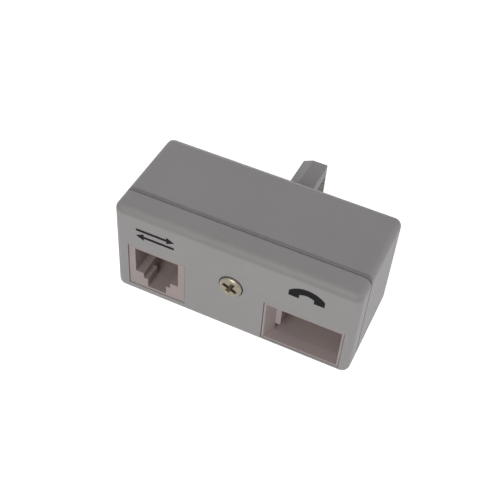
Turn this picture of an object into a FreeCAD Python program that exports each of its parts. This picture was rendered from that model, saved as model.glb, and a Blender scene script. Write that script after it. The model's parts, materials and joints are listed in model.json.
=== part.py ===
import FreeCAD, Part
import math
import os

# Plug-in line filter in two moulded halves. All sizes are in millimetres.
# X runs across the front, Y from the front face towards the plug, Z up from the base.

# Walls of the two halves
wall = 1.5
face_wall = 2.0
back_wall = 1.8
cover_depth = 4.95
groove_width = 0.5
groove_depth = 0.4
edge_radius = 1.7
lip_wall = 1.0
lip_reach = 1.2
lip_end_gap = 0.6
ledge_size = 2.2

# Clearances
fit_gap = 0.1
part_gap = 0.45
bay_gap = 0.85

# Screw, its recess and its boss
screw_height = 13.1
screw_turn = 25.0
head_diameter = 5.0
head_height = 1.7
head_rise = 0.6
head_edge_radius = 0.6
head_gap = 0.12
shank_diameter = 2.4
shank_length = 12.0
shank_point = 1.6
shank_hole_gap = 0.45
thread_gap = 0.05
drive_span = 3.3
drive_width = 0.9
drive_depth = 1.2
drive_taper = 0.35
seat_wall = 1.6
boss_diameter = 6.0
boss_seat_step = 0.5
boss_hole_spare = 1.2

# Circuit board
board_thickness = 1.6
board_edge_gap = 0.25
tail_space = 2.5
tail_length = 0.9
hole_gap = 0.12

# Modem jack, with a collar that stands in the cover's window
jack_width = 12.7
jack_height = 12.8
jack_depth = 17.6
face_recess = 0.15
jack_shoulder = 0.8
jack_side_gap = 1.6
jack_roof = 1.3
jack_floor = 1.35
jack_back_wall = 1.2
mouth_width = 9.7
mouth_height = 6.55
mouth_depth = 13.4
latch_step_width = 6.1
latch_step_drop = 1.4
latch_channel_width = 4.2
latch_catch_depth = 4.2
jack_contacts = 4
jack_pitch = 1.02
jack_strip_width = 0.45
jack_strip_thickness = 0.3
jack_bend = 0.4
jack_contact_drop = 2.2
jack_contact_reach = 5.2
jack_lip_depth = 2.2
jack_core_wall = 1.1
slot_gap = 0.14
hairpin_drop = 2.2
peg_diameter = 1.5
peg_inset = 2.6
post_diameter = 2.6

# Phone socket
window_width = 16.9
window_height = 10.75
window_inset = 0.45
flange_overlap = 1.3
collar_rim = 0.45
lead_in_depth = 2.4
lead_in_left = 1.45
lead_in_right = 0.35
flange_spare = 1.0
socket_floor = 0.65
socket_slot_height = 6.6
socket_roof = 1.6
socket_side_wall = 1.1
socket_back_wall = 1.0
catch_width = 1.1
catch_height = 4.5
catch_length = 4.2
phone_plug_width = 11.0
phone_plug_gap = 0.15
phone_contacts = 4
phone_pitch = 1.27
phone_strip_width = 0.8
phone_strip_thickness = 0.3
phone_bend = 0.4
phone_contact_drop = 2.0
phone_contact_reach = 5.6
phone_lip_depth = 0.6

# Line plug tongue, moulded with the rear shell
plug_thickness = 5.7
plug_width = 11.0
plug_reach = 15.5
plug_height = 11.05
plug_draft = 0.1
plug_bevel_width = 2.1
plug_bevel_height = 1.0
plug_tip_chamfer = 0.4
line_contacts = 4
line_pitch = 1.27
line_strip_width = 0.6
line_strip_thickness = 0.35
line_inset = 0.765
line_side_gap = 0.3
line_slot_gap = 0.08
line_jog = 0.28
line_groove_length = 7.0
line_tip_wall = 0.9

# Filter parts on the board
choke_width = 9.4
choke_height = 6.9
choke_length = 9.0
core_height = 3.6
core_back = 1.6
core_side_leg = 1.7
core_middle_leg = 3.0
bobbin_wall = 0.4
bobbin_flange = 0.6
bobbin_pin = 0.5
bobbin_pin_pitch = 4.0
winding_gap = 0.05
winding_margin = 0.2
winding_radius = 0.5
lead_diameter = 0.6
bell_width = 5.5
bell_height = 12.0
bell_length = 10.5
bell_lead_pitch = 10.0
case_chamfer = 0.4
cap_width = 7.2
cap_height = 3.0
cap_length = 7.5
cap_lead_pitch = 5.0
resistor_diameter = 2.2
resistor_length = 6.3
resistor_lead_span = 0.9
resistor_bend = 0.5
resistor_lead = 0.5
resistor_height = 4.5
resistor_stand_off = 0.3

# Depths, counted from the front face
board_front = face_recess + jack_depth
board_back = board_front + board_thickness
inside_back = board_back + tail_space
housing_depth = inside_back + back_wall
shell_front = cover_depth + groove_width
seat_y = head_height - head_rise
tower_back = seat_y + seat_wall
boss_front = tower_back + fit_gap
shoulder_front = face_wall + fit_gap
tail_back = board_back + tail_length
tail_front = board_front - tail_length

# The fuller side of the screw sets the width; the jack with a choke above it sets the height
boss_radius = boss_diameter / 2
jack_side = wall + jack_side_gap + jack_width + bell_width + 2 * bay_gap + boss_radius
phone_side = wall + window_inset + window_width + flange_overlap + part_gap + resistor_diameter + boss_radius
half_width = max(jack_side, phone_side)
housing_height = 2 * wall + fit_gap + jack_height + 2 * part_gap + choke_height
inner_right = half_width - wall
inner_top = housing_height - wall
inner_edge_radius = 3 * fit_gap

# Modem jack, set against the left wall
jack_left = -inner_right + jack_side_gap
jack_right = jack_left + jack_width
jack_x = jack_left + jack_width / 2
jack_bottom = wall + fit_gap
jack_top = jack_bottom + jack_height
jack_face_z = (jack_bottom + jack_shoulder, jack_top - jack_shoulder)
mouth_top = jack_top - jack_roof
mouth_floor = mouth_top - mouth_height
channel_floor = jack_bottom + jack_floor
jack_strip_z = mouth_top + jack_strip_thickness / 2 + slot_gap

# Phone socket, set against the right wall, with a collar that lines the cover's window
window_right = inner_right - window_inset
window_left = window_right - window_width
window_top = wall + window_height
collar_x = (window_left + fit_gap, window_right - fit_gap)
collar_z = (wall + fit_gap, window_top - fit_gap)
lead_in_x = (collar_x[0] + collar_rim, collar_x[1] - collar_rim)
lead_in_z = (collar_z[0] + collar_rim, collar_z[1] - collar_rim)
flange_left = window_left - flange_overlap
socket_right = inner_right - fit_gap
socket_bottom = wall + fit_gap
flange_top = window_top + flange_overlap
slot_left = lead_in_x[0] + lead_in_left
slot_right = lead_in_x[1] - lead_in_right
slot_floor = socket_bottom + socket_floor
slot_top = slot_floor + socket_slot_height
slot_front = face_recess + lead_in_depth
phone_x = slot_right - phone_plug_gap - phone_plug_width / 2
phone_strip_z = slot_top + phone_strip_thickness / 2 + slot_gap

# The tongue stands beside the middle so that its contacts pass the foot of the boss
boss_seat_radius = boss_radius + boss_seat_step
line_x = boss_seat_radius + line_side_gap + line_strip_thickness / 2
plug_x = line_x + line_inset - plug_thickness / 2
plug_tip = housing_depth + plug_reach
overall_depth = plug_tip + head_rise
middle_y = (plug_tip - head_rise) / 2


def vector(x, y, z):
    return FreeCAD.Vector(x, y, z)


def block(x, y, z):
    # Box between pairs of coordinates.
    corner = vector(x[0], y[0], z[0])
    return Part.makeBox(x[1] - x[0], y[1] - y[0], z[1] - z[0], corner)


def rod(x, z, diameter, y):
    # Round bar along Y.
    return Part.makeCylinder(diameter / 2, y[1] - y[0], vector(x, y[0], z), vector(0, 1, 0))


def long_edges(box):
    # The four edges of a box that run along Y.
    return [edge for edge in box.Edges if edge.BoundBox.YLength > box.BoundBox.YLength / 2]


def rounded_block(x, y, z, radius, closed_end=None):
    # Box whose four edges along Y are rounded, and those of its closed end if it has one.
    box = block(x, y, z)
    edges = long_edges(box)
    if closed_end is not None:
        edges += edges_at(box, closed_end)
    return box.makeFillet(radius, edges)


def rectangle(x, y, z):
    # Closed outline standing across Y.
    corners = [(x[0], z[0]), (x[1], z[0]), (x[1], z[1]), (x[0], z[1]), (x[0], z[0])]
    return Part.makePolygon([vector(px, y, pz) for px, pz in corners])


def edges_at(shape, y):
    # Edges that lie wholly in one plane across Y.
    flat = [edge for edge in shape.Edges if edge.BoundBox.YLength < 1e-6]
    return [edge for edge in flat if abs(edge.BoundBox.YMin - y) < 1e-6]


def row(count, pitch, centre):
    # Evenly spaced places about a centre.
    return [centre + (index - (count - 1) / 2) * pitch for index in range(count)]


def bent_path(points, radius):
    # Straight runs joined by tangent arcs of one radius.
    edges = []
    start = points[0]
    for before, corner, after in zip(points, points[1:], points[2:]):
        arriving = (corner - before).normalize()
        leaving = (after - corner).normalize()
        turn = arriving.getAngle(leaving)
        setback = radius * math.tan(turn / 2)
        arc_start = corner - arriving * setback
        arc_end = corner + leaving * setback
        inward = (leaving - arriving).normalize()
        arc_middle = corner + inward * (radius / math.cos(turn / 2) - radius)
        edges.append(Part.makeLine(start, arc_start))
        edges.append(Part.Arc(arc_start, arc_middle, arc_end).toShape())
        start = arc_end
    edges.append(Part.makeLine(start, points[-1]))
    return Part.Wire(edges)


def bent_strip(points, radius, across, up):
    # Flat strip that begins along Y: across is its size in X and up its size in Z.
    path = bent_path(points, radius)
    start = points[0]
    x = (start.x - across / 2, start.x + across / 2)
    z = (start.z - up / 2, start.z + up / 2)
    return path.makePipeShell([rectangle(x, start.y, z)], True, False)


def counted(name, shapes):
    # Names numbered from one for pieces that repeat.
    return {f"{name}_{number}": shape for number, shape in enumerate(shapes, 1)}


def front_cover():
    x = (-half_width, half_width)
    body = rounded_block(x, (0, cover_depth), (0, housing_height), edge_radius, 0)
    inside_x = (-inner_right, inner_right)
    hollow = rounded_block(inside_x, (face_wall, cover_depth), (wall, inner_top), inner_edge_radius)
    body = body.cut(hollow)
    tower_diameter = head_diameter + 2 * head_gap + 2 * seat_wall
    tower = rod(0, screw_height, tower_diameter, (0, tower_back))
    body = body.fuse([tower] + cover_lips())
    head_hole = rod(0, screw_height, head_diameter + 2 * head_gap, (0, seat_y))
    shank_hole = rod(0, screw_height, shank_diameter + 2 * shank_hole_gap, (0, tower_back))
    jack_x_span = (jack_left - fit_gap, jack_right + fit_gap)
    jack_z_span = (jack_face_z[0] - fit_gap, jack_face_z[1] + fit_gap)
    jack_window = block(jack_x_span, (0, cover_depth), jack_z_span)
    phone_window = block((window_left, window_right), (0, cover_depth), (wall, window_top))
    return body.cut([head_hole, shank_hole, jack_window, phone_window]).removeSplitter()


def cover_lips():
    # Ribs inside the cover's walls that reach into the rear shell and line the halves up.
    y = (face_wall, cover_depth)
    reach_y = (face_wall, cover_depth + lip_reach)
    corner_gap = wall + lip_wall
    lips = []
    across = (-inner_right + corner_gap, inner_right - corner_gap)
    between = (jack_right + lip_end_gap, flange_left - lip_end_gap)
    for x, face, side in ((across, inner_top, -1), (between, wall, 1)):
        rib_z = sorted((face, face + side * (lip_wall + fit_gap)))
        lip_z = sorted((face + side * fit_gap, face + side * (lip_wall + fit_gap)))
        lips.append(block(x, y, rib_z))
        lips.append(block(x, reach_y, lip_z))
    left_z = (jack_top + lip_end_gap, inner_top - corner_gap)
    right_z = (flange_top + lip_end_gap, inner_top - corner_gap)
    for z, face, side in ((left_z, -inner_right, 1), (right_z, inner_right, -1)):
        rib_x = sorted((face, face + side * (lip_wall + fit_gap)))
        lip_x = sorted((face + side * fit_gap, face + side * (lip_wall + fit_gap)))
        lips.append(block(rib_x, y, z))
        lips.append(block(lip_x, reach_y, z))
    return lips


def rear_shell():
    x = (-half_width, half_width)
    y = (shell_front, housing_depth)
    body = rounded_block(x, y, (0, housing_height), edge_radius, housing_depth)
    rim_x = (-half_width + groove_depth, half_width - groove_depth)
    rim_z = (groove_depth, housing_height - groove_depth)
    rim = rounded_block(rim_x, (cover_depth, shell_front), rim_z, edge_radius - groove_depth)
    body = body.fuse([rim, plug_tongue()])
    inside_x = (-inner_right, inner_right)
    hollow = rounded_block(inside_x, (cover_depth, inside_back), (wall, inner_top), inner_edge_radius)
    body = body.cut(hollow)
    boss = rod(0, screw_height, boss_diameter, (boss_front, inside_back))
    seat = rod(0, screw_height, 2 * boss_seat_radius, (board_back, inside_back))
    body = body.fuse([boss, seat] + board_ledges())
    pilot_back = seat_y + shank_length + boss_hole_spare
    pilot = rod(0, screw_height, shank_diameter + 2 * thread_gap, (boss_front, pilot_back))
    return body.cut([pilot] + line_slots()).removeSplitter()


def board_ledges():
    # Corner blocks that the board rests on.
    y = (board_back, inside_back)
    ledges = []
    for x in ((-inner_right, -inner_right + ledge_size), (inner_right - ledge_size, inner_right)):
        for z in ((wall, wall + ledge_size), (inner_top - ledge_size, inner_top)):
            ledges.append(block(x, y, z))
    return ledges


def tongue_outline(y, shrink):
    # Section of the tongue: the two edges of its left side are bevelled.
    left = plug_x - plug_thickness / 2 + shrink
    right = plug_x + plug_thickness / 2 - shrink
    low = plug_height - plug_width / 2 + shrink
    high = plug_height + plug_width / 2 - shrink
    corners = [
        (right, low),
        (right, high),
        (left + plug_bevel_width, high),
        (left, high - plug_bevel_height),
        (left, low + plug_bevel_height),
        (left + plug_bevel_width, low),
        (right, low),
    ]
    return Part.makePolygon([vector(px, y, pz) for px, pz in corners])


def plug_tongue():
    outlines = [tongue_outline(housing_depth - back_wall, 0), tongue_outline(plug_tip, plug_draft)]
    tongue = Part.makeLoft(outlines, True, True)
    return tongue.makeChamfer(plug_tip_chamfer, edges_at(tongue, plug_tip))


def line_heights():
    return row(line_contacts, line_pitch, plug_height)


def line_slots():
    # A tunnel through the back wall and tongue for each contact, open to the side near the tip.
    half_up = line_strip_width / 2 + line_slot_gap
    half_across = line_strip_thickness / 2 + line_slot_gap
    groove_back = plug_tip - line_tip_wall
    groove_front = groove_back - line_groove_length
    side = plug_x + plug_thickness / 2
    slots = []
    for z in line_heights():
        up = (z - half_up, z + half_up)
        tunnel = block((line_x - half_across, line_x + half_across), (inside_back, groove_back), up)
        groove = block((line_x - half_across, side), (groove_front, groove_back), up)
        slots += [tunnel, groove]
    return slots


def cover_screw():
    # Pan head with a rounded edge, standing out of its recess.
    flat_radius = head_diameter / 2 - head_edge_radius
    edge_y = head_edge_radius - head_rise
    bulge = head_edge_radius * math.sin(math.pi / 4)
    edge_start = vector(flat_radius, -head_rise, 0)
    edge_middle = vector(flat_radius + bulge, edge_y - bulge, 0)
    edge_end = vector(head_diameter / 2, edge_y, 0)
    profile = [Part.Arc(edge_start, edge_middle, edge_end).toShape()]
    corners = [
        (head_diameter / 2, edge_y),
        (head_diameter / 2, seat_y),
        (shank_diameter / 2, seat_y),
        (shank_diameter / 2, seat_y + shank_length - shank_point),
        (0, seat_y + shank_length),
        (0, -head_rise),
        (flat_radius, -head_rise),
    ]
    points = [vector(px, py, 0) for px, py in corners]
    profile += [Part.makeLine(before, after) for before, after in zip(points, points[1:])]
    face = Part.Face(Part.Wire(profile))
    turned = face.revolve(vector(0, 0, 0), vector(0, 1, 0), 360)
    turned.translate(vector(0, 0, screw_height))
    drive = drive_arm(0).fuse(drive_arm(90))
    drive.rotate(vector(0, 0, screw_height), vector(0, 1, 0), screw_turn)
    return turned.cut(drive).removeSplitter()


def drive_arm(angle):
    # One tapered bar of the cross recess.
    outlines = []
    for y, scale in ((-head_rise, 1.0), (drive_depth - head_rise, drive_taper)):
        half_span = drive_span / 2 * scale
        half_thick = drive_width / 2 * (1 + scale) / 2
        x = (-half_span, half_span)
        z = (screw_height - half_thick, screw_height + half_thick)
        outlines.append(rectangle(x, y, z))
    arm = Part.makeLoft(outlines, True, True)
    arm.rotate(vector(0, 0, screw_height), vector(0, 1, 0), angle)
    return arm


def jack_peg_places():
    x = (jack_left + peg_inset, jack_right - peg_inset)
    return [(px, jack_bottom + peg_inset) for px in x]


def modem_jack_housing():
    x = (jack_left, jack_right)
    body = block(x, (shoulder_front, board_front), (jack_bottom, jack_top))
    body = body.fuse(block(x, (face_recess, shoulder_front), jack_face_z))
    mouth_back = face_recess + mouth_depth
    catch_back = face_recess + latch_catch_depth
    step_floor = mouth_floor - latch_step_drop
    mouth_x = (jack_x - mouth_width / 2, jack_x + mouth_width / 2)
    step_x = (jack_x - latch_step_width / 2, jack_x + latch_step_width / 2)
    channel_x = (jack_x - latch_channel_width / 2, jack_x + latch_channel_width / 2)
    mouth = block(mouth_x, (0, mouth_back), (mouth_floor, mouth_top))
    step = block(step_x, (0, mouth_back), (step_floor, mouth_floor))
    channel = block(channel_x, (0, mouth_back), (channel_floor, step_floor))
    pocket = block(step_x, (catch_back, mouth_back), (channel_floor, step_floor))
    core = block(
        (jack_left + jack_core_wall, jack_right - jack_core_wall),
        (mouth_back + jack_back_wall, board_front),
        (jack_bottom + jack_core_wall, jack_top - jack_core_wall),
    )
    body = body.cut([mouth, step, channel, pocket, core] + jack_strip_slots())
    for x, z in jack_peg_places():
        post = rod(x, z, post_diameter, (mouth_back, board_front))
        peg = rod(x, z, peg_diameter, (board_front, board_back))
        body = body.fuse([post, peg])
    return body.removeSplitter()


def jack_strip_slots():
    half = jack_strip_width / 2 + slot_gap
    y = (face_recess + jack_lip_depth, board_front)
    z = (mouth_top - fit_gap, jack_strip_z + jack_strip_thickness / 2 + slot_gap)
    return [block((x - half, x + half), y, z) for x in row(jack_contacts, jack_pitch, jack_x)]


def modem_contact(x):
    # Spring strip: along the roof, round behind the front bar and back down into the mouth.
    bend_y = face_recess + jack_lip_depth + slot_gap + jack_strip_thickness / 2
    points = [
        vector(x, tail_back, jack_strip_z),
        vector(x, bend_y, jack_strip_z),
        vector(x, bend_y, jack_strip_z - hairpin_drop * jack_bend),
        vector(x, bend_y + jack_contact_reach, mouth_top - jack_contact_drop),
    ]
    return bent_strip(points, jack_bend, jack_strip_width, jack_strip_thickness)


def phone_peg_places():
    x = (slot_left + peg_inset, slot_right - peg_inset)
    return [(px, slot_floor + peg_inset) for px in x]


def phone_socket_housing():
    flange_x = (flange_left, socket_right)
    flange_y = (shoulder_front, slot_front + flange_spare)
    flange = block(flange_x, flange_y, (socket_bottom, flange_top))
    case_x = (slot_left - socket_side_wall, socket_right)
    case = block(case_x, (shoulder_front, board_front), (socket_bottom, slot_top + socket_roof))
    collar = block(collar_x, (face_recess, shoulder_front), collar_z)
    body = flange.fuse([case, collar])
    slot_back = board_front - socket_back_wall
    slot = block((slot_left, slot_right), (slot_front, slot_back), (slot_floor, slot_top))
    outlines = [
        rectangle(lead_in_x, face_recess, lead_in_z),
        rectangle((slot_left, slot_right), slot_front, (slot_floor, slot_top)),
    ]
    lead_in = Part.makeLoft(outlines, True, True)
    body = body.cut([slot, lead_in])
    catch = block(
        (slot_left - fit_gap, slot_left + catch_width),
        (slot_front, slot_front + catch_length),
        (slot_top - catch_height, slot_top + fit_gap),
    )
    body = body.fuse(catch).cut(phone_strip_slots())
    pegs = [rod(x, z, peg_diameter, (slot_back, board_back)) for x, z in phone_peg_places()]
    return body.fuse(pegs).removeSplitter()


def phone_strip_slots():
    half = phone_strip_width / 2 + slot_gap
    y = (slot_front + phone_lip_depth, board_front)
    z = (slot_top - fit_gap, phone_strip_z + phone_strip_thickness / 2 + slot_gap)
    return [block((x - half, x + half), y, z) for x in row(phone_contacts, phone_pitch, phone_x)]


def phone_contact(x):
    # Spring strip: along the roof, round behind the front bar and back down into the slot.
    bend_y = slot_front + phone_lip_depth + slot_gap + phone_strip_thickness / 2
    points = [
        vector(x, tail_back, phone_strip_z),
        vector(x, bend_y, phone_strip_z),
        vector(x, bend_y, phone_strip_z - hairpin_drop * phone_bend),
        vector(x, bend_y + phone_contact_reach, slot_top - phone_contact_drop),
    ]
    return bent_strip(points, phone_bend, phone_strip_width, phone_strip_thickness)


def line_contact(z):
    # Strip from the board through the tongue, stepping out to the side of the tongue near its tip.
    groove_back = plug_tip - line_tip_wall
    groove_front = groove_back - line_groove_length
    half = line_strip_thickness / 2
    step_front = groove_front + half
    points = [
        vector(line_x, tail_front, z),
        vector(line_x, step_front, z),
        vector(line_x + line_jog, step_front + 2 * line_jog, z),
        vector(line_x + line_jog, groove_back - line_slot_gap, z),
    ]
    return bent_strip(points, half + line_slot_gap, line_strip_thickness, line_strip_width)


def choke_places():
    # One choke over the modem jack and one over the phone socket.
    side = inner_right - part_gap - choke_width / 2
    return [(x, inner_top - part_gap - choke_height / 2) for x in (-side, side)]


def choke_core(x, z, back, direction):
    # Ferrite half shaped like an E, with its legs pointing along Y in the given direction.
    half_core = choke_width / 2
    leg_inside = half_core - core_side_leg
    half_leg = core_middle_leg / 2
    root = back + direction * core_back
    tip = back + direction * choke_length / 2
    corners = [
        (-half_core, back),
        (-half_core, tip),
        (-leg_inside, tip),
        (-leg_inside, root),
        (-half_leg, root),
        (-half_leg, tip),
        (half_leg, tip),
        (half_leg, root),
        (leg_inside, root),
        (leg_inside, tip),
        (half_core, tip),
        (half_core, back),
        (-half_core, back),
    ]
    low = z - core_height / 2
    outline = Part.makePolygon([vector(x + px, py, low) for px, py in corners])
    return Part.Face(outline).extrude(vector(0, 0, core_height))


def choke_tube_halves():
    # Half sizes in X and Z of the hole through the bobbin and of its tube.
    hole = (core_middle_leg / 2 + fit_gap, core_height / 2 + fit_gap)
    return hole, (hole[0] + bobbin_wall, hole[1] + bobbin_wall)


def bobbin_depths():
    # The bobbin lies between the backs of the two core halves.
    return board_front - choke_length + core_back + fit_gap, board_front - core_back - fit_gap


def centred_block(x, z, halves, y):
    # Box about a place, by its half sizes in X and Z.
    return block((x - halves[0], x + halves[0]), y, (z - halves[1], z + halves[1]))


def choke_pin_places(x, z):
    pin_z = (choke_tube_halves()[0][1] + choke_height / 2) / 2
    return [(px, pz) for px in row(2, bobbin_pin_pitch, x) for pz in (z - pin_z, z + pin_z)]


def choke_bobbin(x, z):
    # Square tube with a flange at each end and four pins that pass the core on their way to the board.
    front, back = bobbin_depths()
    hole, tube = choke_tube_halves()
    flange = (choke_width / 2 - core_side_leg - fit_gap, choke_height / 2)
    body = centred_block(x, z, tube, (front, back))
    body = body.fuse(centred_block(x, z, flange, (front, front + bobbin_flange)))
    body = body.fuse(centred_block(x, z, flange, (back - bobbin_flange, back)))
    body = body.cut(centred_block(x, z, hole, (front, back)))
    half_pin = (bobbin_pin / 2, bobbin_pin / 2)
    pins = [centred_block(px, pz, half_pin, (back, tail_back)) for px, pz in choke_pin_places(x, z)]
    return body.fuse(pins).removeSplitter()


def choke_winding(x, z):
    # Wound copper between the flanges of the bobbin.
    front, back = bobbin_depths()
    y = (front + bobbin_flange + winding_gap, back - bobbin_flange - winding_gap)
    tube = choke_tube_halves()[1]
    outside_x = choke_width / 2 - core_side_leg - winding_margin
    outside_z = choke_height / 2 - winding_margin
    span_x = (x - outside_x, x + outside_x)
    span_z = (z - outside_z, z + outside_z)
    coil = rounded_block(span_x, y, span_z, winding_radius)
    return coil.cut(centred_block(x, z, (tube[0] + winding_gap, tube[1] + winding_gap), y))


def boxed_capacitor(x, z, length, leads):
    # Moulded case standing on the board, with two leads.
    case = block(x, (board_front - length, board_front), z)
    case = case.makeChamfer(case_chamfer, long_edges(case))
    pins = [rod(px, pz, lead_diameter, (board_front, tail_back)) for px, pz in leads]
    return case.fuse(pins)


def bell_place():
    # Middle of the bay between the jack and the boss, low down.
    x = (jack_right - boss_radius) / 2
    return x, wall + part_gap + bell_height / 2


def bell_lead_places():
    x, z = bell_place()
    return [(x, lead_z) for lead_z in row(2, bell_lead_pitch, z)]


def bell_capacitor():
    x, z = bell_place()
    span_x = (x - bell_width / 2, x + bell_width / 2)
    span_z = (z - bell_height / 2, z + bell_height / 2)
    return boxed_capacitor(span_x, span_z, bell_length, bell_lead_places())


def filter_places():
    # Side by side above the boss and the bell capacitor.
    boss_top = screw_height + boss_radius + hole_gap
    bell_top = bell_place()[1] + bell_height / 2
    z = max(boss_top, bell_top) + part_gap + cap_height / 2
    return [(x, z) for x in row(2, cap_width + part_gap, 0)]


def filter_lead_places(x, z):
    return [(lead_x, z) for lead_x in row(2, cap_lead_pitch, x)]


def filter_capacitor(x, z):
    span_x = (x - cap_width / 2, x + cap_width / 2)
    span_z = (z - cap_height / 2, z + cap_height / 2)
    return boxed_capacitor(span_x, span_z, cap_length, filter_lead_places(x, z))


def resistor_lead_places():
    # The left lead clears the bell capacitor.
    bell_right = bell_place()[0] + bell_width / 2
    left = bell_right + part_gap + resistor_lead / 2
    right = left + resistor_length + 2 * resistor_lead_span
    return [(left, resistor_height), (right, resistor_height)]


def damping_resistor():
    left, right = [place[0] for place in resistor_lead_places()]
    y = board_front - resistor_stand_off - resistor_diameter / 2
    body_left = left + resistor_lead_span
    x_axis = vector(1, 0, 0)
    body_start = vector(body_left, y, resistor_height)
    body = Part.makeCylinder(resistor_diameter / 2, resistor_length, body_start, x_axis)
    middle = (left + right) / 2
    for lead_x in (left, right):
        points = [
            vector(lead_x, tail_back, resistor_height),
            vector(lead_x, y, resistor_height),
            vector(middle, y, resistor_height),
        ]
        body = body.fuse(bent_strip(points, resistor_bend, resistor_lead, resistor_lead))
    return body.removeSplitter()


def circuit_board():
    # Punched board: square slots for strips and pins, round holes for wires, pegs and the boss.
    edge = wall + board_edge_gap
    x = (-half_width + edge, half_width - edge)
    board = block(x, (board_front, board_back), (edge, housing_height - edge))
    cuts = [board_hole(0, screw_height, boss_diameter)]
    cuts += [board_hole(px, pz, peg_diameter) for px, pz in jack_peg_places() + phone_peg_places()]
    leads = bell_lead_places()
    for place in filter_places():
        leads += filter_lead_places(*place)
    cuts += [board_hole(px, pz, lead_diameter) for px, pz in leads]
    jack_row = [(px, jack_strip_z) for px in row(jack_contacts, jack_pitch, jack_x)]
    phone_row = [(px, phone_strip_z) for px in row(phone_contacts, phone_pitch, phone_x)]
    line_row = [(line_x, pz) for pz in line_heights()]
    cuts += board_slots(jack_row, jack_strip_width, jack_strip_thickness)
    cuts += board_slots(phone_row, phone_strip_width, phone_strip_thickness)
    cuts += board_slots(line_row, line_strip_thickness, line_strip_width)
    for place in choke_places():
        cuts += board_slots(choke_pin_places(*place), bobbin_pin, bobbin_pin)
    cuts += board_slots(resistor_lead_places(), resistor_lead, resistor_lead)
    return board.cut(cuts)


def board_hole(x, z, diameter):
    return rod(x, z, diameter + 2 * hole_gap, (board_front, board_back))


def board_slots(places, across, up):
    halves = (across / 2 + hole_gap, up / 2 + hole_gap)
    return [centred_block(x, z, halves, (board_front, board_back)) for x, z in places]


def all_pieces():
    pieces = {
        "front_cover": front_cover(),
        "rear_shell": rear_shell(),
        "cover_screw": cover_screw(),
        "circuit_board": circuit_board(),
        "modem_jack_housing": modem_jack_housing(),
        "phone_socket_housing": phone_socket_housing(),
        "bell_capacitor": bell_capacitor(),
        "damping_resistor": damping_resistor(),
    }
    jack_row = row(jack_contacts, jack_pitch, jack_x)
    phone_row = row(phone_contacts, phone_pitch, phone_x)
    pieces.update(counted("modem_contact", [modem_contact(x) for x in jack_row]))
    pieces.update(counted("phone_contact", [phone_contact(x) for x in phone_row]))
    pieces.update(counted("line_contact", [line_contact(z) for z in line_heights()]))
    for number, (x, z) in enumerate(choke_places(), 1):
        pieces[f"choke_core_front_{number}"] = choke_core(x, z, board_front - choke_length, 1)
        pieces[f"choke_core_back_{number}"] = choke_core(x, z, board_front, -1)
        pieces[f"choke_bobbin_{number}"] = choke_bobbin(x, z)
        pieces[f"choke_winding_{number}"] = choke_winding(x, z)
    pieces.update(counted("filter_capacitor", [filter_capacitor(x, z) for x, z in filter_places()]))
    return pieces


# The finished part stands on its base with the origin at the middle of its overall footprint.
os.makedirs("parts", exist_ok=True)
for name, shape in all_pieces().items():
    shape.translate(vector(0, -middle_y, 0))
    shape.exportStep(f"parts/{name}.step")
print(f"housing {2 * half_width:.2f} x {housing_depth:.2f} x {housing_height:.2f}")
print(f"overall depth {overall_depth:.2f}")
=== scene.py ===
import bpy
import bmesh
import json
import math
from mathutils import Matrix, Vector


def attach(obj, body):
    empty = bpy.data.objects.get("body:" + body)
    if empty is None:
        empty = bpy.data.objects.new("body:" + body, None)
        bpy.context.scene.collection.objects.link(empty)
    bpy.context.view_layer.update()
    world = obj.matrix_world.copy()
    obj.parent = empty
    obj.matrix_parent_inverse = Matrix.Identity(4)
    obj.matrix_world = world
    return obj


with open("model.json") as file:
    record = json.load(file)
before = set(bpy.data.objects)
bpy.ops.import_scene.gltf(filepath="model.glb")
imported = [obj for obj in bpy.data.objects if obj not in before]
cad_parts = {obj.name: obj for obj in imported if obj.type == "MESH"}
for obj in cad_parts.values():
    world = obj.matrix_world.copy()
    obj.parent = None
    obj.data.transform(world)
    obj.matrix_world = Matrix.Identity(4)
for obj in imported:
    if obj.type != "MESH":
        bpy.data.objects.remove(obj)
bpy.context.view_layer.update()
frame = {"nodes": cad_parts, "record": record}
nodes = frame["nodes"]
mm = 0.001
frontFace = -19.275  # where the flat front of the housing lies along Y, in millimetres
cutTolerance = 0.000001  # of the mesh cuts, in metres


def linearColour(code):
    # sRGB hex to the linear values that shaders work in
    parts = [int(code[i:i + 2], 16) / 255 for i in (1, 3, 5)]
    return [p / 12.92 if p <= 0.04045 else ((p + 0.055) / 1.055) ** 2.4 for p in parts] + [1.0]


def addNode(material, kind, settings=None, inputs=None):
    # one shader node with its settings, and a value or a link for each named or numbered input
    tree = material.node_tree
    node = tree.nodes.new("ShaderNode" + kind)
    for name, value in (settings or {}).items():
        setattr(node, name, value)
    for name, value in (inputs or {}).items():
        if isinstance(value, bpy.types.NodeSocket):
            tree.links.new(value, node.inputs[name])
        else:
            node.inputs[name].default_value = value
    return node


def newMaterial(name):
    material = bpy.data.materials.new(name)
    material.use_nodes = True
    material.node_tree.nodes.clear()
    return material


def giveMaterial(piece, material):
    piece.data.materials.clear()
    piece.data.materials.append(material)


def deselectAll():
    if bpy.context.mode != "OBJECT":
        bpy.ops.object.mode_set(mode="OBJECT")
    bpy.ops.object.select_all(action="DESELECT")


def workOn(piece):
    deselectAll()
    piece.select_set(True)
    bpy.context.view_layer.objects.active = piece


def finishPiece(piece, name, material):
    # place in the mesh, name, material and the body it rides on
    workOn(piece)
    bpy.ops.object.transform_apply(location=True, rotation=True, scale=True)
    piece.name = name
    piece.data.name = name
    giveMaterial(piece, material)
    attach(piece, "root")
    return piece


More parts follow.
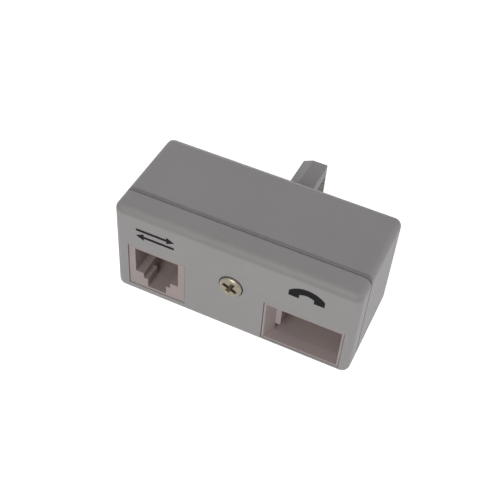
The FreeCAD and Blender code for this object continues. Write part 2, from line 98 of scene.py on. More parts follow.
def paintedShadeBands(material, place, colour, paintedShade):
    # painted shade in ragged bands on top: full up to one depth, fading to none at the next
    parts = addNode(material, "SeparateXYZ", None, {"Vector": place})
    patches = addNode(material, "TexNoise", None, {
        "Vector": place, "Scale": 1 / (paintedShade["patchSize"] * mm), "Detail": 3.0,
    })
    drift = addNode(material, "MapRange", None, {
        "Value": patches.outputs["Fac"], "From Min": 0.3, "From Max": 0.7,
        "To Min": -paintedShade["ragged"] * mm, "To Max": paintedShade["ragged"] * mm,
    })
    across = addNode(material, "Math", {"operation": "ADD"}, {
        0: parts.outputs["Y"], 1: drift.outputs["Result"],
    })
    for band in paintedShade["bands"]:
        shadeFade = addNode(material, "MapRange", None, {
            "Value": across.outputs["Value"], "From Min": band["full"] * mm, "From Max": band["none"] * mm,
            "To Min": band["share"], "To Max": 0.0,
        })
        onTop = addNode(material, "MapRange", None, {
            "Value": parts.outputs["Z"], "From Min": band["low"] * mm, "From Max": band["high"] * mm,
        })
        behind = addNode(material, "Math", {"operation": "GREATER_THAN"}, {
            0: parts.outputs["Y"], 1: band["start"] * mm,
        })
        upper = addNode(material, "Math", {"operation": "MULTIPLY"}, {
            0: onTop.outputs["Result"], 1: behind.outputs["Value"],
        })
        amount = addNode(material, "Math", {"operation": "MULTIPLY"}, {
            0: upper.outputs["Value"], 1: shadeFade.outputs["Result"],
        })
        # mix in the painted shade colour by the band's amount
        darkened = addNode(material, "Mix", {"data_type": "RGBA"}, {
            "Factor": amount.outputs["Value"], 6: colour, 7: linearColour(paintedShade["colour"]),
        })
        colour = darkened.outputs[2]
    return colour


def mouldedPlastic(name, look):
    # injection-moulded plastic from a spark-eroded tool: an even satin skin with a very fine grain,
    # soft cloudy changes of tone and edges broken by about a tenth of a millimetre
    material = newMaterial(name)
    place = addNode(material, "TexCoord").outputs["Object"]
    cloud = addNode(material, "TexNoise", None, {
        "Vector": place, "Scale": 1 / (look["cloudSize"] * mm), "Detail": 3.0, "Roughness": 0.55,
    })
    # real grain is near 0.1 mm, drawn coarser so that it shows
    grain = addNode(material, "TexNoise", None, {
        "Vector": place, "Scale": 1 / (look["grainSize"] * mm), "Detail": 2.0,
    })
    speck = addNode(material, "TexVoronoi", None, {"Vector": place, "Scale": 1 / (look["speckSize"] * mm)})
    tone = addNode(material, "Mix", {"data_type": "RGBA"}, {
        "Factor": cloud.outputs["Fac"], 6: linearColour(look["darker"]), 7: linearColour(look["lighter"]),
    })
    speckAmount = addNode(material, "MapRange", None, {
        "Value": speck.outputs["Distance"], "From Min": 0.05, "From Max": 0.3, "To Min": 0.12, "To Max": 0.0,
    })
    colour = addNode(material, "Mix", {"data_type": "RGBA"}, {
        "Factor": speckAmount.outputs["Result"], 6: tone.outputs[2], 7: linearColour(look["speck"]),
    })
    skinColour = colour.outputs[2]
    # painted shade in darker bands on top, where the look lists them
    if "paintedShade" in look:
        skinColour = paintedShadeBands(material, place, skinColour, look["paintedShade"])
    roughness = addNode(material, "MapRange", None, {
        "Value": grain.outputs["Fac"], "From Min": 0.3, "From Max": 0.7,
        "To Min": look["roughness"] - 0.05, "To Max": look["roughness"] + 0.05,
    })
    edge = addNode(material, "Bevel", {"samples": 6}, {"Radius": look["edge"] * mm})
    bump = addNode(material, "Bump", None, {
        "Height": grain.outputs["Fac"], "Strength": look["grainStrength"], "Distance": look["grainDepth"] * mm,
        "Normal": edge.outputs["Normal"],
    })
    shader = addNode(material, "BsdfPrincipled", None, {
        "Base Color": skinColour, "Roughness": roughness.outputs["Result"],
        "Normal": bump.outputs["Normal"], "IOR": look["ior"],
    })
    addNode(material, "OutputMaterial", None, {"Surface": shader.outputs["BSDF"]})
    return material


housingPlastic = mouldedPlastic("satinMouldedAbs", {
    "darker": "#8e8b8b", "lighter": "#969393", "speck": "#7d7a79",
    "cloudSize": 9.0, "grainSize": 0.3, "speckSize": 1.4, "edge": 0.12,
    "roughness": 0.54, "grainStrength": 0.25, "grainDepth": 0.012, "ior": 1.52,
    "paintedShade": {"colour": "#4c4445", "patchSize": 1.6, "ragged": 0.1, "bands": [
        # painted shade behind the parting groove, then along the cover's top front edge
        {"start": -13.805, "full": -13.825, "none": -13.025, "low": 22.3, "high": 23.3, "share": 0.72},
        {"start": -20.0, "full": -18.8, "none": -17.6, "low": 21.5, "high": 22.3, "share": 0.3},
    ]},
})
jackPlastic = mouldedPlastic("mouldedJackPlastic", {
    "darker": "#958986", "lighter": "#9f928f", "speck": "#867a76",
    "cloudSize": 6.0, "grainSize": 0.3, "speckSize": 1.2, "edge": 0.1,
    "roughness": 0.5, "grainStrength": 0.2, "grainDepth": 0.01, "ior": 1.52,
})
socketPlastic = mouldedPlastic("mouldedSocketPlastic", {
    "darker": "#978b8a", "lighter": "#a19593", "speck": "#897d78",
    "cloudSize": 6.0, "grainSize": 0.3, "speckSize": 1.2, "edge": 0.1,
    "roughness": 0.5, "grainStrength": 0.2, "grainDepth": 0.01, "ior": 1.52,
})
bobbinPlastic = mouldedPlastic("blackMouldedPhenolic", {
    "darker": "#1c1c1e", "lighter": "#242426", "speck": "#33302d",
    "cloudSize": 4.0, "grainSize": 0.25, "speckSize": 0.6, "edge": 0.08,
    "roughness": 0.38, "grainStrength": 0.2, "grainDepth": 0.01, "ior": 1.55,
})
print("plastics mixed")


def platedMetal(name, look):
    # thin plate over drawn or headed metal: fine rubbed streaks in the shine, dull and dark where dirt and painted
    # shade sit
    material = newMaterial(name)
    place = addNode(material, "TexCoord").outputs["Object"]
    stretch = addNode(material, "Mapping", None, {"Vector": place, "Scale": look["streak"]})
    wear = addNode(material, "TexNoise", None, {
        "Vector": stretch.outputs["Vector"], "Scale": 1 / (look["wearSize"] * mm), "Detail": 4.0,
    })
    plate = addNode(material, "Mix", {"data_type": "RGBA"}, {
        "Factor": wear.outputs["Fac"], 6: linearColour(look["darker"]), 7: linearColour(look["lighter"]),
    })
    roughness = addNode(material, "MapRange", None, {
        "Value": wear.outputs["Fac"], "From Min": 0.3, "From Max": 0.7,
        "To Min": look["roughness"] - 0.06, "To Max": look["roughness"] + 0.1,
    })
    colour, dullness = plate.outputs[2], roughness.outputs["Result"]
    metallic = 1.0
    if "recess" in look:
        # the cross recess is dull and dark below the flat of the head: dirt where plate is thin and dirt stays,
        # and painted shade that grows with depth
        axis = addNode(material, "Mapping", None, {
            "Vector": place, "Location": (0.0, 0.0, -look["recess"]["height"] * mm),
        })
        parts = addNode(material, "SeparateXYZ", None, {"Vector": axis.outputs["Vector"]})
        across = addNode(material, "CombineXYZ", None, {"X": parts.outputs["X"], "Z": parts.outputs["Z"]})
        radius = addNode(material, "VectorMath", {"operation": "LENGTH"}, {0: across.outputs["Vector"]})
        near = addNode(material, "MapRange", None, {
            "Value": radius.outputs["Value"], "From Min": look["recess"]["radius"] * mm,
            "From Max": (look["recess"]["radius"] + look["recess"]["rimFade"]) * mm, "To Min": 1.0, "To Max": 0.0,
        })
        deep = addNode(material, "MapRange", None, {
            "Value": parts.outputs["Y"], "From Min": look["recess"]["top"] * mm,
            "From Max": (look["recess"]["top"] + look["recess"]["depthFade"]) * mm, "To Min": 0.0, "To Max": 1.0,
        })
        above = addNode(material, "Math", {"operation": "LESS_THAN"}, {
            0: parts.outputs["Y"], 1: look["recess"]["bottom"] * mm,
        })
        inside = addNode(material, "Math", {"operation": "MULTIPLY"}, {
            0: near.outputs["Result"], 1: above.outputs["Value"],
        })
        # the driver's tip keeps the middle cleaner than the arms, so the middle gets less of the dirt and painted
        # shade
        worn = addNode(material, "MapRange", None, {
            "Value": radius.outputs["Value"], "From Min": look["recess"]["wornMiddle"] * mm,
            "From Max": (look["recess"]["wornMiddle"] + look["recess"]["wornFade"]) * mm,
            "To Min": look["recess"]["middleDirtAndShade"], "To Max": 1.0,
        })
        darkened = addNode(material, "Math", {"operation": "MULTIPLY"}, {
            0: inside.outputs["Value"], 1: deep.outputs["Result"],
        })
        dirtAndShade = addNode(material, "Math", {"operation": "MULTIPLY"}, {
            0: darkened.outputs["Value"], 1: worn.outputs["Result"],
        })
        # darken the recess with the colour of dirt and painted shade
        stainedAndShaded = addNode(material, "Mix", {"data_type": "RGBA"}, {
            "Factor": dirtAndShade.outputs["Value"], 6: colour, 7: linearColour(look["recess"]["dirtAndShade"]),
        })
        duller = addNode(material, "Mix", {"data_type": "FLOAT"}, {
            "Factor": dirtAndShade.outputs["Value"], 2: dullness, 3: look["recess"]["dullness"],
        })
        lessMetal = addNode(material, "MapRange", None, {
            "Value": dirtAndShade.outputs["Value"], "To Min": 1.0, "To Max": look["recess"]["bareMetal"],
        })
        colour, dullness, metallic = stainedAndShaded.outputs[2], duller.outputs[0], lessMetal.outputs["Result"]
    edge = addNode(material, "Bevel", {"samples": 6}, {"Radius": look["edge"] * mm})
    bump = addNode(material, "Bump", None, {
        "Height": wear.outputs["Fac"], "Strength": 0.15, "Distance": 0.01 * mm,
        "Normal": edge.outputs["Normal"],
    })
    shader = addNode(material, "BsdfPrincipled", None, {
        "Base Color": colour, "Roughness": dullness, "Metallic": metallic, "Normal": bump.outputs["Normal"],
    })
    addNode(material, "OutputMaterial", None, {"Surface": shader.outputs["BSDF"]})
    return material


nickelPlate = platedMetal("nickelPlatedSteel", {
    "darker": "#787265", "lighter": "#9a9385", "wearSize": 0.5, "streak": (1.0, 1.0, 1.0),
    "roughness": 0.26, "edge": 0.06,
    # the recess is darkened by dirt together with painted shade that grows with depth
    "recess": {"height": 13.1, "radius": 1.75, "top": -19.85, "bottom": -18.5, "dirtAndShade": "#4b3d28",
               "wornMiddle": 0.3, "middleDirtAndShade": 0.3, "dullness": 0.6, "bareMetal": 0.35,
               "rimFade": 0.1, "depthFade": 0.25, "wornFade": 0.3},
})
goldPlate = platedMetal("goldPlatedBronze", {
    "darker": "#b98a44", "lighter": "#d9b064", "wearSize": 0.25, "streak": (3.0, 0.4, 3.0),
    "roughness": 0.28, "edge": 0.04,
})


def printedInk():
    # screen-printed black ink: matt, a little uneven, with the skin's grain showing through
    look = {
        "darker": "#101011", "lighter": "#1b1b1c", "patchSize": 1.2, "grainSize": 0.25,
        "roughness": 0.65, "shine": 0.1,
    }
    material = newMaterial("screenPrintedInk")
    place = addNode(material, "TexCoord").outputs["Object"]
    patch = addNode(material, "TexNoise", None, {
        "Vector": place, "Scale": 1 / (look["patchSize"] * mm), "Detail": 4.0,
    })
    grain = addNode(material, "TexNoise", None, {
        "Vector": place, "Scale": 1 / (look["grainSize"] * mm), "Detail": 2.0,
    })
    colour = addNode(material, "Mix", {"data_type": "RGBA"}, {
        "Factor": patch.outputs["Fac"], 6: linearColour(look["darker"]), 7: linearColour(look["lighter"]),
    })
    roughness = addNode(material, "MapRange", None, {
        "Value": grain.outputs["Fac"], "To Min": look["roughness"] - 0.08, "To Max": look["roughness"] + 0.08,
    })
    bump = addNode(material, "Bump", None, {
        "Height": grain.outputs["Fac"], "Strength": 0.3, "Distance": 0.01 * mm,
    })
    shader = addNode(material, "BsdfPrincipled", None, {
        "Base Color": colour.outputs[2], "Roughness": roughness.outputs["Result"],
        "Normal": bump.outputs["Normal"], "IOR": 1.5, "Specular IOR Level": look["shine"],
    })
    addNode(material, "OutputMaterial", None, {"Surface": shader.outputs["BSDF"]})
    return material


ink = printedInk()
boardFront = -1.525  # front of the circuit board along Y, in millimetres


def leadsBeyond(material, place, start):
    # one where a lead or pin stands out past a depth, none on the body in front of it
    parts = addNode(material, "SeparateXYZ", None, {"Vector": place})
    return addNode(material, "Math", {"operation": "GREATER_THAN"}, {
        0: parts.outputs["Y"], 1: start * mm,
    }).outputs["Value"]


def bodyWithTinnedLeads(material, leads, colour, roughness, normal, ior):
    # tinned copper wire where leads is one, the body's own skin elsewhere
    tin = {"colour": "#b9b8b2", "roughness": 0.35}
    tinned = addNode(material, "Mix", {"data_type": "RGBA"}, {
        "Factor": leads, 6: colour, 7: linearColour(tin["colour"]),
    })
    shine = addNode(material, "Mix", {"data_type": "FLOAT"}, {"Factor": leads, 2: roughness, 3: tin["roughness"]})
    shader = addNode(material, "BsdfPrincipled", None, {
        "Base Color": tinned.outputs[2], "Roughness": shine.outputs[0], "Metallic": leads,
        "Normal": normal, "IOR": ior,
    })
    addNode(material, "OutputMaterial", None, {"Surface": shader.outputs["BSDF"]})
    return material


def capacitorCase():
    # moulded film-capacitor box: glossy deep red with faint flow clouds and tinned leads
    look = {
        "darker": "#7c2318", "lighter": "#92301f", "cloudSize": 3.0, "grainSize": 0.3,
        "roughness": 0.3, "clear": 0.01, "ior": 1.55,
    }
    material = newMaterial("mouldedCapacitorCase")
    place = addNode(material, "TexCoord").outputs["Object"]
    cloud = addNode(material, "TexNoise", None, {
        "Vector": place, "Scale": 1 / (look["cloudSize"] * mm), "Detail": 3.0,
    })
    grain = addNode(material, "TexNoise", None, {
        "Vector": place, "Scale": 1 / (look["grainSize"] * mm), "Detail": 2.0,
    })
    colour = addNode(material, "Mix", {"data_type": "RGBA"}, {
        "Factor": cloud.outputs["Fac"], 6: linearColour(look["darker"]), 7: linearColour(look["lighter"]),
    })
    roughness = addNode(material, "MapRange", None, {
        "Value": grain.outputs["Fac"], "To Min": look["roughness"] - 0.06, "To Max": look["roughness"] + 0.06,
    })
    bump = addNode(material, "Bump", None, {
        "Height": grain.outputs["Fac"], "Strength": 0.15, "Distance": 0.01 * mm,
    })
    leads = leadsBeyond(material, place, boardFront + look["clear"])
    return bodyWithTinnedLeads(
        material, leads, colour.outputs[2], roughness.outputs["Result"], bump.outputs["Normal"], look["ior"])


def lacqueredResistor():
    # carbon-film resistor: beige lacquer with four painted bands and tinned leads
    look = {
        "middle": 0.9, "axisDepth": -2.925, "axisHeight": 4.5, "length": 6.3, "clear": 0.01, "leadRadius": 0.45,
        "lacquer": "#c9b184", "blotch": "#7a6a4c", "blotchSize": 0.8, "ior": 1.5,
    }
    # where each colour starts along the body, with the bare lacquer between the bands
    bands = [(0.0, look["lacquer"]), (0.12, "#6b3a1c"), (0.2, look["lacquer"]), (0.3, "#1d1b19"),
             (0.38, look["lacquer"]), (0.48, "#6b3a1c"), (0.56, look["lacquer"]), (0.78, "#a8803a"),
             (0.86, look["lacquer"])]
    material = newMaterial("lacqueredResistorBody")
    place = addNode(material, "TexCoord").outputs["Object"]
    moved = addNode(material, "Mapping", None, {
        "Vector": place,
        "Location": (-look["middle"] * mm, -look["axisDepth"] * mm, -look["axisHeight"] * mm),
    })
    parts = addNode(material, "SeparateXYZ", None, {"Vector": moved.outputs["Vector"]})
    along = addNode(material, "MapRange", None, {
        "Value": parts.outputs["X"],
        "From Min": -look["length"] / 2 * mm, "From Max": look["length"] / 2 * mm,
    })
    ramp = addNode(material, "ValToRGB", None, {"Fac": along.outputs["Result"]})
    ramp.color_ramp.interpolation = "CONSTANT"
    while len(ramp.color_ramp.elements) < len(bands):
        ramp.color_ramp.elements.new(1.0)
    for stop, (position, code) in zip(ramp.color_ramp.elements, bands):
        stop.position = position
        stop.color = linearColour(code)
    blotch = addNode(material, "TexNoise", None, {
        "Vector": place, "Scale": 1 / (look["blotchSize"] * mm), "Detail": 3.0,
    })
    shade = addNode(material, "MapRange", None, {
        "Value": blotch.outputs["Fac"], "To Min": 0.0, "To Max": 0.2,
    })
    colour = addNode(material, "Mix", {"data_type": "RGBA", "blend_type": "MULTIPLY"}, {
        "Factor": shade.outputs["Result"], 6: ramp.outputs["Color"], 7: linearColour(look["blotch"]),
    })
    roughness = addNode(material, "MapRange", None, {
        "Value": blotch.outputs["Fac"], "To Min": 0.2, "To Max": 0.35,
    })
    offAxis = addNode(material, "CombineXYZ", None, {"Y": parts.outputs["Y"], "Z": parts.outputs["Z"]})
    radius = addNode(material, "VectorMath", {"operation": "LENGTH"}, {0: offAxis.outputs["Vector"]})
    thin = addNode(material, "Math", {"operation": "LESS_THAN"}, {
        0: radius.outputs["Value"], 1: look["leadRadius"] * mm,
    })
    far = addNode(material, "Math", {"operation": "ABSOLUTE"}, {0: parts.outputs["X"]})
    outside = addNode(material, "Math", {"operation": "GREATER_THAN"}, {
        0: far.outputs["Value"], 1: (look["length"] / 2 + look["clear"]) * mm,
    })
    leads = addNode(material, "Math", {"operation": "MAXIMUM"}, {
        0: outside.outputs["Value"], 1: thin.outputs["Value"],
    })
    bump = addNode(material, "Bump", None, {
        "Height": blotch.outputs["Fac"], "Strength": 0.2, "Distance": 0.02 * mm,
    })
    return bodyWithTinnedLeads(
        material, leads.outputs["Value"], colour.outputs[2], roughness.outputs["Result"],
        bump.outputs["Normal"], look["ior"])


def boardLaminate():
    # punched phenolic paper board: tan, with paper fibres lying across it
    look = {
        "darker": "#8a6430", "lighter": "#b08a4c", "fibreWide": 0.25, "fibreLong": 2.5, "roughness": 0.4,
    }
    material = newMaterial("phenolicPaperLaminate")
    place = addNode(material, "TexCoord").outputs["Object"]
    alongFibre, acrossFibre = 1 / (look["fibreLong"] * mm), 1 / (look["fibreWide"] * mm)
    stretch = addNode(material, "Mapping", None, {
        "Vector": place, "Scale": (alongFibre, acrossFibre, acrossFibre),
    })
    fibre = addNode(material, "TexNoise", None, {
        "Vector": stretch.outputs["Vector"], "Scale": 1.0, "Detail": 5.0,
    })
    colour = addNode(material, "Mix", {"data_type": "RGBA"}, {
        "Factor": fibre.outputs["Fac"], 6: linearColour(look["darker"]), 7: linearColour(look["lighter"]),
    })
    roughness = addNode(material, "MapRange", None, {
        "Value": fibre.outputs["Fac"], "To Min": look["roughness"] - 0.08, "To Max": look["roughness"] + 0.1,
    })
    bump = addNode(material, "Bump", None, {
        "Height": fibre.outputs["Fac"], "Strength": 0.25, "Distance": 0.02 * mm,
    })
    shader = addNode(material, "BsdfPrincipled", None, {
        "Base Color": colour.outputs[2], "Roughness": roughness.outputs["Result"],
        "Normal": bump.outputs["Normal"], "IOR": 1.55,
    })
    addNode(material, "OutputMaterial", None, {"Surface": shader.outputs["BSDF"]})
    return material


def groundFerrite():
    # sintered and ground ferrite: dark grey ceramic with fine pits and brighter grain faces
    look = {"darker": "#232325", "lighter": "#3b3b3e", "grainSize": 0.12, "pitSize": 0.35, "roughness": 0.5}
    material = newMaterial("groundFerrite")
    place = addNode(material, "TexCoord").outputs["Object"]
    grain = addNode(material, "TexVoronoi", None, {"Vector": place, "Scale": 1 / (look["grainSize"] * mm)})
    pits = addNode(material, "TexNoise", None, {
        "Vector": place, "Scale": 1 / (look["pitSize"] * mm), "Detail": 5.0,
    })
    colour = addNode(material, "Mix", {"data_type": "RGBA"}, {
        "Factor": grain.outputs["Distance"], 6: linearColour(look["darker"]), 7: linearColour(look["lighter"]),
    })
    roughness = addNode(material, "MapRange", None, {
        "Value": pits.outputs["Fac"], "To Min": look["roughness"] - 0.15, "To Max": look["roughness"] + 0.2,
    })
    bump = addNode(material, "Bump", None, {
        "Height": pits.outputs["Fac"], "Strength": 0.4, "Distance": 0.03 * mm,
    })
    shader = addNode(material, "BsdfPrincipled", None, {
        "Base Color": colour.outputs[2], "Roughness": roughness.outputs["Result"],
        "Normal": bump.outputs["Normal"], "IOR": 2.2,
    })
    addNode(material, "OutputMaterial", None, {"Surface": shader.outputs["BSDF"]})
    return material


def enamelledWinding():
    # enamelled copper wire wound side by side along the bobbin: rounded copper turns, with painted shade in the
    # dark lines between them
    # the real wire is about 0.15 mm, drawn at 0.3 mm so that the turns show
    look = {
        "turn": 0.3, "groove": "#4a1f0e", "crest": "#b5652f", "roughness": 0.28, "wobble": 0.12, "wobbleSize": 2.0,
    }
    material = newMaterial("enamelledCopperWire")
    place = addNode(material, "TexCoord").outputs["Object"]
    wobble = addNode(material, "TexNoise", None, {
        "Vector": place, "Scale": 1 / (look["wobbleSize"] * mm), "Detail": 2.0,
    })
    parts = addNode(material, "SeparateXYZ", None, {"Vector": place})
    shift = addNode(material, "MapRange", None, {
        "Value": wobble.outputs["Fac"], "To Min": -look["wobble"] * mm, "To Max": look["wobble"] * mm,
    })
    along = addNode(material, "Math", {"operation": "ADD"}, {
        0: parts.outputs["Y"], 1: shift.outputs["Result"],
    })
    turns = addNode(material, "Math", {"operation": "MULTIPLY"}, {
        0: along.outputs["Value"], 1: math.pi / (look["turn"] * mm),
    })
    wave = addNode(material, "Math", {"operation": "SINE"}, {0: turns.outputs["Value"]})
    height = addNode(material, "Math", {"operation": "ABSOLUTE"}, {0: wave.outputs["Value"]})
    # painted shade in the grooves between turns, copper colour on the crests
    colour = addNode(material, "Mix", {"data_type": "RGBA"}, {
        "Factor": height.outputs["Value"], 6: linearColour(look["groove"]), 7: linearColour(look["crest"]),
    })
    roughness = addNode(material, "MapRange", None, {
        "Value": height.outputs["Value"], "To Min": look["roughness"] + 0.25, "To Max": look["roughness"],
    })
    metallic = addNode(material, "MapRange", None, {
        "Value": height.outputs["Value"], "To Min": 0.4, "To Max": 0.9,
    })
    bump = addNode(material, "Bump", None, {
        "Height": height.outputs["Value"], "Strength": 0.8, "Distance": 0.08 * mm,
    })
    shader = addNode(material, "BsdfPrincipled", None, {
        "Base Color": colour.outputs[2], "Roughness": roughness.outputs["Result"],
        "Metallic": metallic.outputs["Result"], "Normal": bump.outputs["Normal"],
    })
    addNode(material, "OutputMaterial", None, {"Surface": shader.outputs["BSDF"]})
    return material


slotMaterial = {
    "housing_plastic": housingPlastic,
    "jack_plastic": jackPlastic,
    "socket_plastic": socketPlastic,
    "screw_metal": nickelPlate,
    "contact_metal": goldPlate,
    "board_laminate": boardLaminate(),
    "ferrite": groundFerrite(),
    "bobbin_plastic": bobbinPlastic,
    "winding_copper": enamelledWinding(),
    "capacitor_case": capacitorCase(),
    "resistor_coat": lacqueredResistor(),
}
nodeSlot = {part["node"]: part["material_slot"] for part in frame["record"]["subparts"]}
for name, node in nodes.items():
    giveMaterial(node, slotMaterial[nodeSlot[name]])
print("materials given to", len(nodes), "nodes")


def inkDisc(radius, x, z, thickness, sides):
    # round sheet of ink standing against the front face
    deselectAll()
    bpy.ops.mesh.primitive_cylinder_add(
        vertices=sides, radius=radius * mm, depth=thickness * mm,
        location=(x * mm, frontFace * mm, z * mm), rotation=(math.radians(90), 0, 0))
    piece = bpy.context.active_object
    bpy.ops.object.transform_apply(location=True, rotation=True, scale=True)
    return piece


def trim(piece, point, normal):
    # cut away what lies on the side that the normal points to, and close the cut
    workOn(piece)
    bpy.ops.object.mode_set(mode="EDIT")
    bpy.ops.mesh.select_all(action="SELECT")
    bpy.ops.mesh.bisect(
        plane_co=[part * mm for part in point], plane_no=normal, use_fill=True, clear_outer=True,
        threshold=cutTolerance)
    bpy.ops.object.mode_set(mode="OBJECT")


# Printed handset over the phone socket: an arched grip between two square ears
handset = {
    "middle": 15.52, "halfWidth": 3.68, "foot": 17.25, "top": 20.2, "outerRadius": 5.07,
    "innerRadius": 2.9, "innerTop": 18.6, "innerHalf": 1.53, "ink": 0.03, "sides": 96, "innerSides": 64,
}
handsetMark = inkDisc(
    handset["outerRadius"], handset["middle"], handset["top"] - handset["outerRadius"],
    handset["ink"], handset["sides"])
trim(handsetMark, (0, 0, handset["foot"]), (0, 0, -1))
trim(handsetMark, (handset["middle"] - handset["halfWidth"], 0, 0), (-1, 0, 0))
trim(handsetMark, (handset["middle"] + handset["halfWidth"], 0, 0), (1, 0, 0))
handHole = inkDisc(
    handset["innerRadius"], handset["middle"], handset["innerTop"] - handset["innerRadius"],
    handset["ink"] * 4, handset["innerSides"])
trim(handHole, (handset["middle"] - handset["innerHalf"], 0, 0), (-1, 0, 0))
trim(handHole, (handset["middle"] + handset["innerHalf"], 0, 0), (1, 0, 0))
workOn(handsetMark)
cut = handsetMark.modifiers.new("gripArch", "BOOLEAN")
cut.operation = "DIFFERENCE"
cut.solver = "EXACT"
cut.object = handHole
bpy.ops.object.modifier_apply(modifier="gripArch")
bpy.data.objects.remove(handHole, do_unlink=True)
finishPiece(handsetMark, "handsetMark", ink)
print("handset mark printed,", len(handsetMark.data.polygons), "faces")

# Printed pair of opposed arrows over the modem jack, a plain sign for data both ways
arrows = {
    "middle": -16.75, "height": 18.15, "length": 8.4, "shaft": 0.62, "headLong": 1.7, "headWide": 1.75,
    "pitch": 1.6, "ink": 0.03, "backStep": 0.02, "pointShare": 0.04,
}
deselectAll()
shaftLength = arrows["length"] - arrows["headLong"]
bpy.ops.mesh.primitive_cube_add(
    size=1.0, location=((arrows["middle"] - arrows["headLong"] / 2) * mm, frontFace * mm,
                        (arrows["height"] + arrows["pitch"] / 2) * mm))
upperArrow = bpy.context.active_object
upperArrow.scale = (shaftLength * mm, arrows["ink"] * mm, arrows["shaft"] * mm)
bpy.ops.object.transform_apply(location=True, rotation=True, scale=True)
bpy.ops.object.mode_set(mode="EDIT")
bpy.ops.mesh.select_mode(type="FACE")
bpy.ops.mesh.select_all(action="DESELECT")
shape = bmesh.from_edit_mesh(upperArrow.data)
for face in shape.faces:
    face.select = face.normal.x > 0.9
bmesh.update_edit_mesh(upperArrow.data)
# the end is widened into the back of the head, then drawn out to its point
headPlace = Vector(((arrows["middle"] + arrows["length"] / 2 - arrows["headLong"]) * mm, frontFace * mm,
                    (arrows["height"] + arrows["pitch"] / 2) * mm))
bpy.ops.mesh.extrude_region_move(TRANSFORM_OT_translate={"value": (arrows["backStep"] * mm, 0, 0)})
bpy.ops.transform.resize(value=(1, 1, arrows["headWide"] / arrows["shaft"]), center_override=headPlace)
bpy.ops.mesh.extrude_region_move(TRANSFORM_OT_translate={
    "value": ((arrows["headLong"] - arrows["backStep"]) * mm, 0, 0),
})
bpy.ops.transform.resize(value=(1, 1, arrows["pointShare"]), center_override=headPlace)
bpy.ops.object.mode_set(mode="OBJECT")
lowerArrow = upperArrow.copy()
lowerArrow.data = upperArrow.data.copy()
bpy.context.collection.objects.link(lowerArrow)
workOn(lowerArrow)
bpy.ops.transform.rotate(
    value=math.pi, orient_axis="Y",
    center_override=(arrows["middle"] * mm, frontFace * mm, arrows["height"] * mm))
bpy.ops.object.transform_apply(location=True, rotation=True, scale=True)
upperArrow.select_set(True)
bpy.context.view_layer.objects.active = upperArrow
bpy.ops.object.join()
dataMark = finishPiece(upperArrow, "dataArrowsMark", ink)
print("data mark printed,", len(dataMark.data.polygons), "faces")

# Solder joints, one round each lead where it comes through the board
solder = {
    "depth": 0.7, "foot": 0.75, "tip": 0.3, "sides": 12, "smoothAngle": 50, "waist": 0.7, "waistPlace": 0.45,
    "crown": 0.06, "crownInset": 0.1, "boardBack": 0.075,
    "wideLeads": [(-21.35, 15.625), (-21.35, 20.975), (-17.35, 15.625), (-17.35, 20.975),
                  (17.35, 15.625), (17.35, 20.975), (21.35, 15.625), (21.35, 20.975),
                  (-6.6, 2.95), (-6.6, 12.95), (-6.325, 18.17), (-1.325, 18.17), (1.325, 18.17),
                  (6.325, 18.17), (-3.15, 4.5), (4.95, 4.5)],
    "jackLeads": [(-18.08, 13.39), (-17.06, 13.39), (-16.04, 13.39), (-15.02, 13.39)],
    "phoneLeads": [(15.595, 9.14), (16.865, 9.14), (18.135, 9.14), (19.405, 9.14)],
    "lineLeads": [(3.975, 9.145), (3.975, 10.415), (3.975, 11.685), (3.975, 12.955)],
}
solderMetal = platedMetal("frozenTinSolder", {
    "darker": "#9a9a96", "lighter": "#c6c6c0", "wearSize": 0.3, "streak": (1.0, 1.0, 1.0),
    "roughness": 0.32, "edge": 0.05,
})
deselectAll()
bpy.ops.mesh.primitive_cone_add(
    vertices=solder["sides"], radius1=solder["foot"] * mm, radius2=solder["tip"] * mm, depth=solder["depth"] * mm,
    location=(0, (solder["boardBack"] + solder["depth"] / 2) * mm, 0), rotation=(math.radians(-90), 0, 0))
firstJoint = bpy.context.active_object
bpy.ops.object.transform_apply(location=True, rotation=True, scale=True)
bpy.ops.object.mode_set(mode="EDIT")
bpy.ops.mesh.select_mode(type="VERT")
bpy.ops.mesh.select_all(action="SELECT")
# a ring at the waist, drawn in so that the solder climbs the lead in a hollow curve
waistPlace = Vector((0, (solder["boardBack"] + solder["depth"] * solder["waistPlace"]) * mm, 0))
bpy.ops.mesh.bisect(plane_co=waistPlace, plane_no=(0, 1, 0), threshold=cutTolerance)
bpy.ops.transform.resize(value=(solder["waist"], 1, solder["waist"]), center_override=waistPlace)
bpy.ops.mesh.select_mode(type="FACE")
bpy.ops.mesh.select_all(action="DESELECT")
shape = bmesh.from_edit_mesh(firstJoint.data)
for face in shape.faces:
    face.select = face.normal.y > 0.99
bmesh.update_edit_mesh(firstJoint.data)
bpy.ops.mesh.inset(thickness=solder["crownInset"] * mm)
bpy.ops.transform.translate(value=(0, solder["crown"] * mm, 0))
bpy.ops.object.mode_set(mode="OBJECT")
joints = []
jointRows = [("wideLeads", 1.0, 1), ("jackLeads", 0.6, 1), ("phoneLeads", 0.78, 1), ("lineLeads", 0.72, -1)]
for rowName, size, side in jointRows:
    for x, z in solder[rowName]:
        joint = firstJoint.copy()
        joint.data = firstJoint.data.copy()
        bpy.context.collection.objects.link(joint)
        workOn(joint)
        bpy.ops.transform.resize(value=(size, 1, size), center_override=(0, 0, 0))
        if side < 0:
            # the line strips come through from behind, so their joints sit on the front
            bpy.ops.transform.rotate(value=math.pi, orient_axis="Z", center_override=(0, 0, 0))
            bpy.ops.transform.translate(value=(0, (boardFront + solder["boardBack"]) * mm, 0))
        bpy.ops.transform.translate(value=(x * mm, 0, z * mm))
        joints.append(joint)
bpy.data.objects.remove(firstJoint, do_unlink=True)
deselectAll()
for joint in joints:
    joint.select_set(True)
bpy.context.view_layer.objects.active = joints[0]
bpy.ops.object.join()
solderJoints = finishPiece(joints[0], "solderJoints", solderMetal)
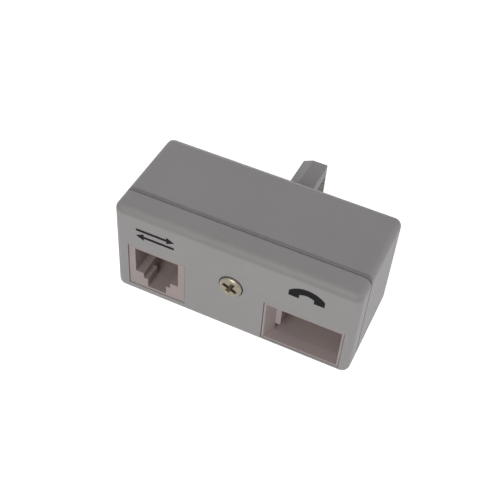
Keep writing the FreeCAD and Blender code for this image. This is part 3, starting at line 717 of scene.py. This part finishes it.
bpy.ops.object.shade_smooth_by_angle(angle=math.radians(solder["smoothAngle"]))
print("solder joints set,", len(solderJoints.data.polygons), "faces")

studio = {
    "world": 0.26, "floorGlow": 0.76, "floorSize": 4.0,
    "mainPower": 1.5, "mainSize": 0.3, "mainPlace": (0.0, -0.44, 0.30),
    "sidePower": 0.65, "sideSize": 0.3, "sidePlace": (0.50, 0.10, 0.09),
    "backPower": 0.6, "backSize": 0.2, "backPlace": (-0.20, 0.45, 0.03),
}


def seenDirectly(material):
    # one for what the camera sees straight, in a reflection or through glass, none for light on the object
    rays = addNode(material, "LightPath")
    mirrored = addNode(material, "Math", {"operation": "MAXIMUM"}, {
        0: rays.outputs["Is Camera Ray"], 1: rays.outputs["Is Glossy Ray"],
    })
    seen = addNode(material, "Math", {"operation": "MAXIMUM"}, {
        0: mirrored.outputs[0], 1: rays.outputs["Is Transmission Ray"],
    })
    return seen.outputs[0]


floorWhite = newMaterial("whiteStudioFloor")
floorSkin = addNode(floorWhite, "BsdfDiffuse", None, {"Color": linearColour("#f2f2f2")})
glowStrength = addNode(floorWhite, "Math", {"operation": "MULTIPLY"}, {
    0: seenDirectly(floorWhite), 1: studio["floorGlow"],
})
glow = addNode(floorWhite, "Emission", None, {"Strength": glowStrength.outputs[0]})
both = addNode(floorWhite, "AddShader", None, {0: floorSkin.outputs[0], 1: glow.outputs[0]})
addNode(floorWhite, "OutputMaterial", None, {"Surface": both.outputs[0]})

deselectAll()
bpy.ops.mesh.primitive_plane_add(size=studio["floorSize"], location=(0, 0, 0))
floor = bpy.context.active_object
floor.name = "studioFloor"
giveMaterial(floor, floorWhite)

world = bpy.data.worlds.new("studioWorld")
bpy.context.scene.world = world
world.use_nodes = True
world.node_tree.nodes.clear()
around = addNode(world, "Background", None, {"Color": linearColour("#ffffff"), "Strength": studio["world"]})
behind = addNode(world, "Background", None, {"Color": linearColour("#ffffff"), "Strength": 1.0})
choice = addNode(world, "MixShader", None, {
    0: seenDirectly(world), 1: around.outputs[0], 2: behind.outputs[0],
})
addNode(world, "OutputWorld", None, {"Surface": choice.outputs[0]})


def addLamp(name, power, size, place):
    # square soft lamp that faces the object
    lampData = bpy.data.lights.new(name, "AREA")
    lampData.shape = "SQUARE"
    lampData.size = size
    lampData.energy = power
    lamp = bpy.data.objects.new(name, lampData)
    bpy.context.collection.objects.link(lamp)
    lamp.location = place
    lamp.rotation_euler = (-Vector(place)).to_track_quat("-Z", "Y").to_euler()


addLamp("mainLamp", studio["mainPower"], studio["mainSize"], studio["mainPlace"])
addLamp("sideLamp", studio["sidePower"], studio["sideSize"], studio["sidePlace"])
addLamp("backLamp", studio["backPower"], studio["backSize"], studio["backPlace"])

view = {"place": (0.045785, -0.128570, 0.148811), "turn": (43.368, -3.467, 24.888),
        "lens": 66.426, "sensor": 36.0, "nearest": 0.005}
cameraData = bpy.data.cameras.new("photoCamera")
cameraData.lens = view["lens"]
cameraData.sensor_width = view["sensor"]
cameraData.clip_start = view["nearest"]
camera = bpy.data.objects.new("photoCamera", cameraData)
bpy.context.collection.objects.link(camera)
camera.location = view["place"]
camera.rotation_euler = [math.radians(angle) for angle in view["turn"]]
bpy.context.scene.camera = camera
bpy.context.scene.view_settings.view_transform = "Standard"
print("studio set")
